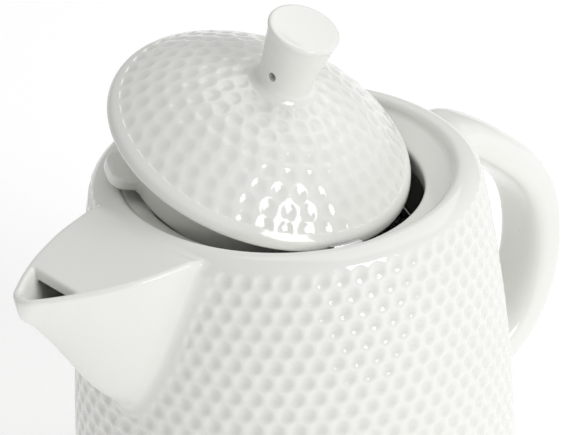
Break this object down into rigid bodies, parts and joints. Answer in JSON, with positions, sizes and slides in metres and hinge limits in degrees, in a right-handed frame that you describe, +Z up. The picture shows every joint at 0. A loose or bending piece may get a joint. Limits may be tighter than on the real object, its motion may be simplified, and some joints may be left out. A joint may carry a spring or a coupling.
{
  "type": "teapot with infuser",
  "caption": "White glazed ceramic teapot with a dimpled wall, pitcher spout, loop handle, loose domed lid with a knob, and a lift-out basket infuser.",
  "frame": {"origin": "centre of the flat base, on the surface the pot stands on", "axes": "+Z up along the pot's axis, spout toward -X, handle toward +X"},
  "size_m": [0.1868, 0.1206, 0.1638],
  "materials": {
    "white_glaze": "glossy",
    "bisque": "matte",
    "stainless": "brushed",
    "steel_mesh": "brushed"
  },
  "bodies": {
    "pot": {"pot_rim": "white_glaze", "pot_wall": "white_glaze", "pot_floor": "white_glaze", "base_foot": "bisque", "spout": "white_glaze", "handle": "white_glaze"},
    "infuser": {"infuser_band": "stainless", "infuser_wall": "steel_mesh", "infuser_base": "steel_mesh", "infuser_base_band": "stainless", "infuser_seam": "stainless", "infuser_hook_back": "stainless", "infuser_hook_front": "stainless"},
    "lid": {"lid_dome": "white_glaze", "lid_skirt": "white_glaze", "lid_lug": "white_glaze", "lid_knob": "white_glaze"}
  },
  "joints": [
    {"name": "infuser_lift", "type": "slide", "parent": "pot", "child": "infuser", "axis": [0, 0, 1], "range_m": [0, 0.115]},
    {"name": "lid_tip", "type": "hinge", "parent": "infuser", "child": "lid", "pos_m": [0.01015, -0.03233, 0.11247], "axis": [0.9538, 0.3003, 0], "range_deg": [0, 60]}
  ]
}
